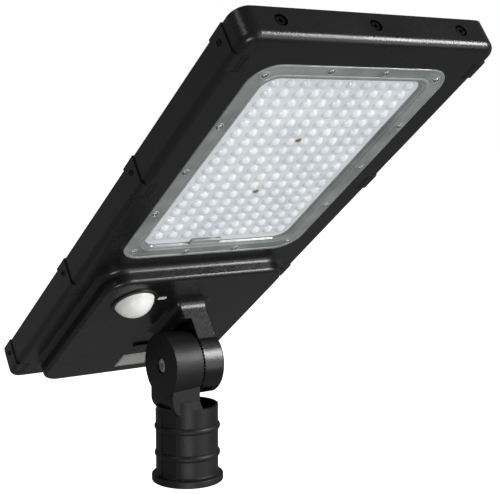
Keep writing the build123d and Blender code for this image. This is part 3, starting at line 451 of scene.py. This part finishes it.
put(wrap_blue, *[n for n in NODES if n.startswith("battery_cell_")])
put(green_mask, "controller_board", "sensor_board")
put(terminal_green, "terminal_block")
put(red_wire, "battery_lead")
put(phosphor, "led_chips")
put(frosted, "indicator_window")


def head_coords(paint):
    """X, Y and Z in the head's own plane, in metres, as node outputs."""
    node = paint.add("ShaderNodeMapping")
    node.inputs["Rotation"].default_value = (TILT, 0, 0)
    node.inputs["Location"].default_value = TO_HEAD.translation
    paint.link(paint.coords, node.inputs["Vector"])
    split = paint.add("ShaderNodeSeparateXYZ")
    paint.link(node.outputs[0], split.inputs[0])
    return split.outputs


# solar cells: dark blue wafers, fine silver fingers and slight shade changes
FINGER_PITCH = 1.8 * MM
cells = Paint("solar_cell", (0.010, 0.016, 0.045), 0.22)
fingers = cells.math("MULTIPLY", head_coords(cells)["Y"], 1 / FINGER_PITCH)
finger = cells.math("FRACT", fingers)
finger = cells.range(finger, 0.86, 0.90, 0.0, 0.45)
shade = cells.range(cells.noise(18, 4), 0.3, 0.7, 0.0, 1.0)
wafer = cells.mix(shade, (0.012, 0.024, 0.075), (0.026, 0.050, 0.150))
cells.colour(cells.mix(finger, wafer, (0.35, 0.37, 0.40)))
cells.rough(cells.range(cells.noise(900, 2), 0.3, 0.7, 0.16, 0.30))
cells.bump(cells.noise(1400, 2), 0.004 * MM)
put(cells, "solar_cells")

# the panel's glass: clear, with faint smears
glass = Paint("panel_glass", (0.03, 0.04, 0.045), 0.05, Alpha=0.18, Specular_IOR_Level=1.0)
glass.rough(glass.range(glass.noise(30, 4, 0.6), 0.35, 0.75, 0.03, 0.14))
glass.bump(glass.noise(420, 3), 0.03 * MM)
put(glass, "panel_glass")

# label: a brushed silver plate with a printed border and nothing written on it
label = Paint("label_silver", (0.48, 0.48, 0.47), 0.38, Metallic=0.35)
label_lo, label_hi = head_box("rating_label")
label_at = head_coords(label)
to_edge = []
for axis, low, high in (("X", label_lo.x, label_hi.x), ("Y", label_lo.y, label_hi.y)):
    off = label.math("ABSOLUTE", label.math("SUBTRACT", label_at[axis], (low + high) / 2))
    to_edge.append(label.math("SUBTRACT", (high - low) / 2, off))
nearest = label.math("MINIMUM", *to_edge)
line = label.math(
    "MULTIPLY", label.range(nearest, 1.2 * MM, 1.4 * MM, 0, 1),
    label.range(nearest, 1.8 * MM, 2.0 * MM, 1, 0),
)
brushing = label.range(label.noise(600, 3), 0.3, 0.7, 0, 1)
brushed = label.mix(brushing, (0.42, 0.42, 0.41), (0.56, 0.56, 0.55))
label.colour(label.mix(line, brushed, (0.05, 0.05, 0.05)))
label.rough(label.range(label.noise(1200, 2), 0.3, 0.7, 0.30, 0.46))
label.bump(label.noise(900, 2), 0.02 * MM)
put(label, "rating_label")

# ---------------------------------------------------------------- lens plate with its domes
lens_lo, lens_hi = head_box("lens_cover")
LENS_C = ((lens_lo.x + lens_hi.x) / 2, (lens_lo.y + lens_hi.y) / 2)
LENS_HX, LENS_HY = (lens_hi.x - lens_lo.x) / 2, (lens_hi.y - lens_lo.y) / 2
chip_lo, chip_hi = head_box("led_chips")
COLS, ROWS = 10, 18
CHIP = 3.0 * MM
PITCH_X = (chip_hi.x - chip_lo.x - CHIP) / (COLS - 1)
PITCH_Y = (chip_hi.y - chip_lo.y - CHIP) / (ROWS - 1)
GRID_Y = (chip_lo.y + chip_hi.y) / 2
SHEET_Z = 79.0 * MM      # outer face of the sheet between the domes
DOME_R, DOME_H = 6.0 * MM, 3.6 * MM

# the rim: clear plastic, with a painted highlight along its edges where light would catch its lips
rim_clear = Paint("lens_rim", (0.3, 0.32, 0.31), 0.14, Transmission_Weight=0.45, IOR=1.56)
# painted highlight: the colour turns near-white within 1.5 mm of each edge
painted_edge_highlight = rim_clear.edges(1.5 * MM)
cloud = rim_clear.range(rim_clear.noise(28, 3), 0.35, 0.7, 0.0, 1.0)
depth = rim_clear.mix(cloud, (0.26, 0.28, 0.275), (0.42, 0.44, 0.43))
rim_clear.colour(rim_clear.mix(painted_edge_highlight, depth, (0.86, 0.88, 0.87)))
rim_clear.rough(rim_clear.range(rim_clear.noise(160, 4), 0.3, 0.7, 0.09, 0.20))
rim_clear.bump(rim_clear.noise(300, 3), 0.02 * MM)

# the domed sheet: clear plastic over a white board, so it reads as milky and glossy; its faint
# bluish emission is a painted glow that brightens it as if lit
# painted glow: Emission 0.12 in pale blue, though nothing in the sheet is a lamp
sheet_milky_painted_glow = Paint(
    "lens_milky_painted_glow", (0.6, 0.6, 0.6), 0.14, Coat_Weight=0.9, Coat_Roughness=0.04, IOR=1.56,
    Emission_Color=(0.90, 0.95, 1.0, 1), Emission_Strength=0.12,
)
tone = sheet_milky_painted_glow.range(sheet_milky_painted_glow.noise(24, 4), 0.35, 0.7, 0.0, 1.0)
sheet_milky_painted_glow.colour(sheet_milky_painted_glow.mix(tone, (0.50, 0.53, 0.56), (0.62, 0.64, 0.65)))
sheet_milky_painted_glow.rough(sheet_milky_painted_glow.range(sheet_milky_painted_glow.noise(700, 2), 0.3, 0.7, 0.10, 0.20))
sheet_milky_painted_glow.bump(sheet_milky_painted_glow.noise(500, 3), 0.03 * MM)

# the rim's section, from the pocket's floor over the raised edge to the sheet: inset from the
# plate's outline, corner radius and height in the head's plane, in millimetres
RIM_PROFILE = [
    (17.4, 12, 81.0), (17.4, 12, 77.2), (0.3, 26, 77.2), (0.0, 26, 76.9), (0.0, 26, 74.9),
    (0.25, 26, 74.4), (0.8, 25.5, 74.2), (2.2, 24, 74.2), (2.8, 23.4, 74.4), (3.2, 23, 75.1),
    (13.4, 19, 75.1), (13.8, 18.7, 74.5), (14.4, 18.3, 74.2), (15.6, 17.6, 74.2),
    (16.1, 17.3, 74.45), (16.4, 17.1, 75.2), (17.2, 16.6, 75.6), (18.5, 16, 75.6),
    (19.0, 15.6, 76.2), (19.4, 15.4, 78.2), (19.8, 15.2, 78.8), (20.6, 14.8, 79.0),
]
bm = bmesh.new()
rows = sweep_band(bm, LENS_C, LENS_HX, LENS_HY, in_metres(RIM_PROFILE), 14)
bm.faces.new(rows[0])
rim_faces = set(bm.faces)

# one dome and its share of the sheet per LED; neighbours share their border points
SEG = 24
CORNER_EVERY, FIRST_CORNER = SEG // 4, SEG // 8     # border points that fall on a cell's corners
RINGS = [1.06, 1.0, 0.95, 0.86, 0.74, 0.6, 0.44, 0.26, 0.1]     # radii, as shares of DOME_R
SPHERE_R = (DOME_R ** 2 + DOME_H ** 2) / (2 * DOME_H)
DOME_SCALE, DOME_STEP = 0.98, 0.04 * MM     # a small step marks the foot of the dome


def dome_z(r):
    """Height of the sheet at a distance from a dome's centre."""
    if r > DOME_R:
        return SHEET_Z
    rise = math.sqrt(SPHERE_R ** 2 - r ** 2) - (SPHERE_R - DOME_H)
    return SHEET_Z - rise * DOME_SCALE - DOME_STEP


TINY = 1e-9
for col in range(COLS):
    for row in range(ROWS):
        cx = LENS_C[0] + (col - (COLS - 1) / 2) * PITCH_X
        cy = GRID_Y + (row - (ROWS - 1) / 2) * PITCH_Y
        border = []
        for i in range(SEG):
            dx, dy = on_circle(1, i, SEG)
            if i % CORNER_EVERY == FIRST_CORNER:
                x, y = math.copysign(PITCH_X / 2, dx), math.copysign(PITCH_Y / 2, dy)
            else:
                reach = min(PITCH_X / 2 / max(abs(dx), TINY), PITCH_Y / 2 / max(abs(dy), TINY))
                x, y = dx * reach, dy * reach
            border.append(bm.verts.new(HEAD @ Vector((cx + x, cy + y, SHEET_Z))))
        before = border
        for scale in RINGS:
            r = DOME_R * scale
            points = [on_circle(r, i, SEG) for i in range(SEG)]
            ring = [bm.verts.new(HEAD @ Vector((cx + x, cy + y, dome_z(r)))) for x, y in points]
            bridge(bm, before, ring)
            before = ring
        top = bm.verts.new(HEAD @ Vector((cx, cy, dome_z(0))))
        for i in range(SEG):
            bm.faces.new((before[i], before[(i + 1) % SEG], top))
bmesh.ops.remove_doubles(bm, verts=bm.verts, dist=0.002 * MM)
open_edges = [e for e in bm.edges if len(e.link_faces) == 1]
bmesh.ops.triangle_fill(bm, use_beauty=True, use_dissolve=False, edges=open_edges)
for face in bm.faces:
    if face not in rim_faces:
        face.material_index = 1
lens = piece(
    "lens_plate", bm, rim_clear, HEAD_BODY, replaces=("lens_cover",), smooth=50
)
lens.data.materials.append(sheet_milky_painted_glow.mat)

# rings of clear plastic round the rim's screws, and the screws' heads in them; each screw has
# stopped at another angle
OUT = (0, 0, -1)         # away from the head's underside
LENS_MID_Y = LENS_C[1] / MM
RIM_SCREWS = (
    [(sx * 102.0, LENS_MID_Y + y) for sx in (-1, 1) for y in (-70.5, 0.0, 70.5)]
    + [(x, LENS_MID_Y + sy * 149.5) for sy in (-1, 1) for x in (-30.0, 30.0)]
    + [(sx * 94.5, LENS_MID_Y + sy * 142.0) for sx in (-1, 1) for sy in (-1, 1)]
)
RING_Z, SCREW_Z = 75.7, 75.4
RING_PROFILE = in_metres(
    [(3.3, 0.5), (3.3, 1.3), (3.6, 1.5), (4.4, 1.5), (4.8, 1.2), (5.0, 0.5)]
)
bm = bmesh.new()
for x, y in RIM_SCREWS:
    place = outward((x, y, RING_Z), OUT)
    rows = turned(bm, place, RING_PROFILE, SCREW_SEGMENTS, cap_first=False, cap_last=False)
    bridge(bm, rows[-1], rows[0])
piece("lens_screw_rings", bm, rim_clear, HEAD_BODY)

bm = bmesh.new()
for i, (x, y) in enumerate(RIM_SCREWS):
    cross_head(bm, outward((x, y, SCREW_Z), OUT, 0.7 * i), 2.8 * MM, 1.8 * MM)
piece("lens_screw_heads", bm, steel, HEAD_BODY, replaces=("lens_screws",))

# two screws through the middle of the sheet, each on a washer
CENTRE_X, CENTRE_STEP = 0.8, 43.3
WASHER_PROFILE = in_metres([(3.0, -0.3), (3.0, 0.3), (2.7, 0.5), (2.2, 0.3)])
bm = bmesh.new()
for i, y in enumerate((LENS_MID_Y - CENTRE_STEP, LENS_MID_Y + CENTRE_STEP)):
    spin = 0.5 + i
    turned(bm, outward((CENTRE_X, y, 79.0), OUT, spin), WASHER_PROFILE, SCREW_SEGMENTS)
    cross_head(bm, outward((CENTRE_X, y, 78.8), OUT, spin), 1.9 * MM, 0.9 * MM)
piece("lens_centre_screws", bm, brass, HEAD_BODY)

# moulded tab on the rim's inner lip, at the near end
TAB_AT = (-13 * MM, LENS_C[1] + LENS_HY - 23.0 * MM)
TAB_PROFILE = [
    (0.0, 2.0, 79.2), (0.0, 2.0, 76.6), (0.3, 1.8, 76.1), (0.9, 1.4, 75.9), (1.6, 1.0, 75.9),
    (1.9, 0.9, 76.3), (2.2, 0.8, 76.4),
]
bm = bmesh.new()
tab_rows = sweep_band(bm, TAB_AT, 18 * MM, 4.2 * MM, in_metres(TAB_PROFILE), 6)
bm.faces.new(tab_rows[0])
bm.faces.new(tab_rows[-1])
piece("lens_tab", bm, rim_clear, HEAD_BODY, smooth=35)

# ---------------------------------------------------------------- clip screws
CLIP_FACE_X, CLIP_SCREW_Z = 138.3, 95.5
bm = bmesh.new()
for i, clip in enumerate(CLIPS):
    clip_lo, clip_hi = head_box(clip)
    side = -1 if clip.startswith("clip_left_") else 1
    middle = (clip_lo.y + clip_hi.y) / 2 / MM
    place = outward((side * CLIP_FACE_X, middle, CLIP_SCREW_Z), (side, 0, 0), 0.9 * i)
    cross_head(bm, place, 2.7 * MM, 1.7 * MM)
piece("clip_screw_heads", bm, oxide, HEAD_BODY, replaces=("clip_screws",))

# ---------------------------------------------------------------- motion sensor dome
pir_lo, pir_hi = head_box("pir_lens")
PIR_AT = ((pir_lo.x + pir_hi.x) / 2 / MM, (pir_lo.y + pir_hi.y) / 2 / MM, pir_hi.z / MM)
PIR_R, PIR_H = (pir_hi.x - pir_lo.x) / 2, pir_hi.z - pir_lo.z
PIR_FOOT = 2 * MM        # straight part under the dome
PIR_SEGMENTS, PIR_RINGS = 22, 8     # few enough for facets to show
crown_h = PIR_H - PIR_FOOT
crown_r = (PIR_R ** 2 + crown_h ** 2) / (2 * crown_h)
profile = [(PIR_R, 0.0), (PIR_R, PIR_FOOT)]
for i in range(1, PIR_RINGS):
    a = math.asin(PIR_R / crown_r) * (1 - i / PIR_RINGS)
    profile.append((crown_r * math.sin(a), PIR_H - crown_r * (1 - math.cos(a))))
profile.append((0.0, PIR_H))
pir_white = Paint(
    "pir_white", (0.62, 0.61, 0.58), 0.28, Subsurface_Weight=0.25, Subsurface_Scale=0.002, IOR=1.5
)
cloud = pir_white.range(pir_white.noise(60, 3), 0.35, 0.7, 0, 1)
pir_white.colour(pir_white.mix(cloud, (0.64, 0.64, 0.615), (0.72, 0.72, 0.70)))
pir_white.rough(pir_white.range(pir_white.noise(700, 2), 0.3, 0.7, 0.22, 0.36))
pir_white.bump(pir_white.noise(900, 2), 0.03 * MM)
bm = bmesh.new()
turned(bm, outward(PIR_AT, OUT), profile, PIR_SEGMENTS, cap_last=False)
piece("pir_dome", bm, pir_white, HEAD_BODY, replaces=("pir_lens",), smooth=15)

# ---------------------------------------------------------------- busbar ribbons on the solar cells
cell_lo, cell_hi = head_box("solar_cells")
CELL_W, CELL_GAP = 60.5 * MM, 2.0 * MM
CELL_COLS, BARS = 4, 5
HALF_W, RIBBON_T, RIBBON_EDGE = 0.5 * MM, 0.08 * MM, 0.02 * MM
RIBBON_END = 1.5 * MM    # how far a ribbon stops from the cells' edge
ribbon_y = (cell_lo.y + RIBBON_END, cell_hi.y - RIBBON_END)
z0, z1 = cell_hi.z, cell_hi.z + RIBBON_T
ribbon_section = [
    (-HALF_W, z0), (-HALF_W, z1 - RIBBON_EDGE), (-HALF_W * 0.7, z1), (HALF_W * 0.7, z1),
    (HALF_W, z1 - RIBBON_EDGE), (HALF_W, z0),
]
bm = bmesh.new()
for col in range(CELL_COLS):
    left = cell_lo.x + col * (CELL_W + CELL_GAP)
    for bar in range(BARS):
        x = left + CELL_W * (bar + 0.5) / BARS
        start, end = (
            [bm.verts.new(HEAD @ Vector((x + dx, y, z))) for dx, z in ribbon_section]
            for y in ribbon_y
        )
        bridge(bm, start, end)
        bm.faces.new(start)
        bm.faces.new(end)
piece("cell_ribbons", bm, steel, HEAD_BODY, smooth=30)

# ---------------------------------------------------------------- floor
FLOOR_HALF, FLOOR_Z = 40, -1.2
floor_paint = Paint(
    "floor_pale", (0.86, 0.86, 0.86), 0.7, Emission_Color=(1, 1, 1, 1), Emission_Strength=1.2
)
floor_paint.rough(floor_paint.range(floor_paint.noise(3, 3), 0.3, 0.7, 0.62, 0.78))
floor_mesh = bpy.data.meshes.new("floor")
bm = bmesh.new()
bmesh.ops.create_grid(bm, x_segments=1, y_segments=1, size=FLOOR_HALF)
bm.to_mesh(floor_mesh)
bm.free()
floor_mesh.materials.append(floor_paint.mat)
floor = bpy.data.objects.new("floor", floor_mesh)
bpy.context.scene.collection.objects.link(floor)
floor.location = (0, 0, FLOOR_Z)
floor.visible_glossy = False
floor.visible_diffuse = False
floor.visible_transmission = False
floor.visible_shadow = False
